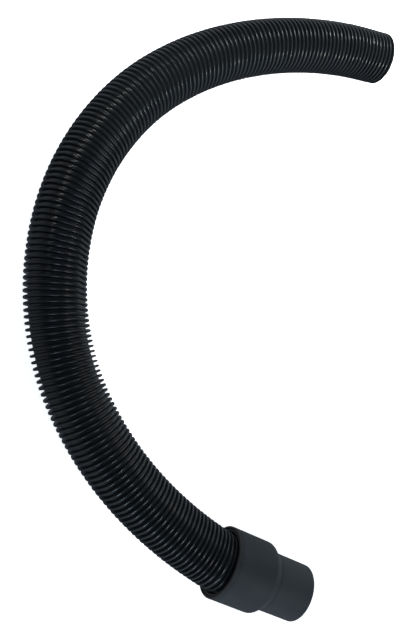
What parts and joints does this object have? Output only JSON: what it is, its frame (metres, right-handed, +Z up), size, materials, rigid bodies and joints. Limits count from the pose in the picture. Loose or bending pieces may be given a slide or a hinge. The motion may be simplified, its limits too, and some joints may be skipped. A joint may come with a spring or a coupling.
{
  "type": "vacuum hose",
  "caption": "Short length of spiral-ribbed pool vacuum hose lying in a C, with a two-diameter swivel cuff on one end and a plain cut end.",
  "frame": {"origin": "centre of the bounding box's base, on the floor that the hose lies on", "axes": "+Z up off the floor, +X along the cuff's axis and out of its spigot, +Y from the cuff towards the bare end"},
  "size_m": [0.3228, 0.5289, 0.0564],
  "materials": {
    "hose": "black flexible plastic with a soft gloss on the rib crests",
    "cuff": "matte dark grey moulded plastic",
    "collar": "satin black moulded plastic",
    "ring": "satin brownish black plastic",
    "seal": "dull black rubber"
  },
  "bodies": {
    "hose": {"hose_cuff_half": "hose", "threaded_collar": "collar"},
    "bare_end": {"hose_bare_half": "hose"},
    "cuff": {"swivel_cuff": "cuff", "retaining_ring": "ring", "seal_washer": "seal"}
  },
  "joints": [
    {"name": "hose_bend", "type": "hinge", "parent": "hose", "child": "bare_end", "pos_m": [-0.1376, -0.031, 0.02325], "axis": [0, 0, 1], "range_deg": [-40, 40]},
    {"name": "cuff_swivel", "type": "hinge", "parent": "hose", "child": "cuff", "pos_m": [0.12, -0.2362, 0.0282], "axis": [1, 0, 0], "continuous": true}
  ]
}
